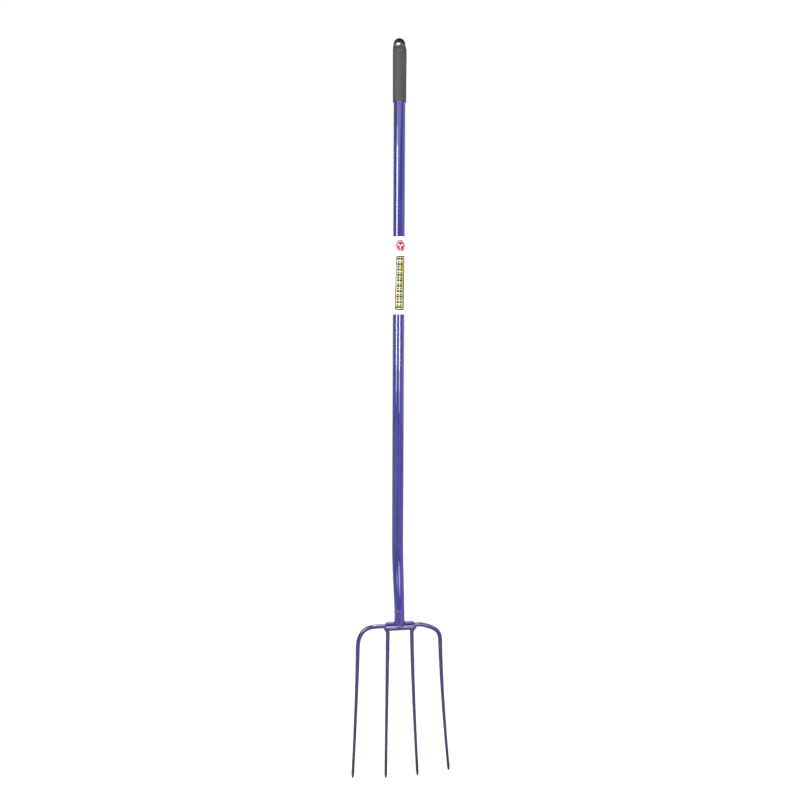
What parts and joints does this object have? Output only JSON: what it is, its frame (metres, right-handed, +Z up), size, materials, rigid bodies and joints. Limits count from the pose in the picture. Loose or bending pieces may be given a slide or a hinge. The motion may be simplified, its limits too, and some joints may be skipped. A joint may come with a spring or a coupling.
{
  "type": "manure fork",
  "caption": "Long-handled steel fork with a straight tubular shaft, a push-on hand grip with a hanging tab, and slim round dished tines on welded bars.",
  "frame": {"origin": "bottom centre of the whole fork's bounding box, at the height of the tine tips", "axes": "+Z up along the straight shaft towards the grip; the hollow front of the tines faces -Y; the tines are spread along X"},
  "size_m": [0.2374, 0.1156, 1.7262],
  "materials": {
    "enamel": "glossy purple-blue enamel",
    "vinyl_grip": "matte dark grey vinyl",
    "vinyl_label": "satin printed vinyl"
  },
  "bodies": {
    "root": {"grip_sleeve": "vinyl_grip", "label_wrap": "vinyl_label", "shaft_tube": "enamel", "neck_tang": "enamel", "outer_tine_bar": "enamel", "inner_tine_bar": "enamel", "weld_tube_collar": "enamel", "weld_neck_front": "enamel", "weld_neck_back": "enamel", "weld_top_left": "enamel", "weld_under_left": "enamel", "weld_top_right": "enamel", "weld_under_right": "enamel"}
  },
  "joints": []
}
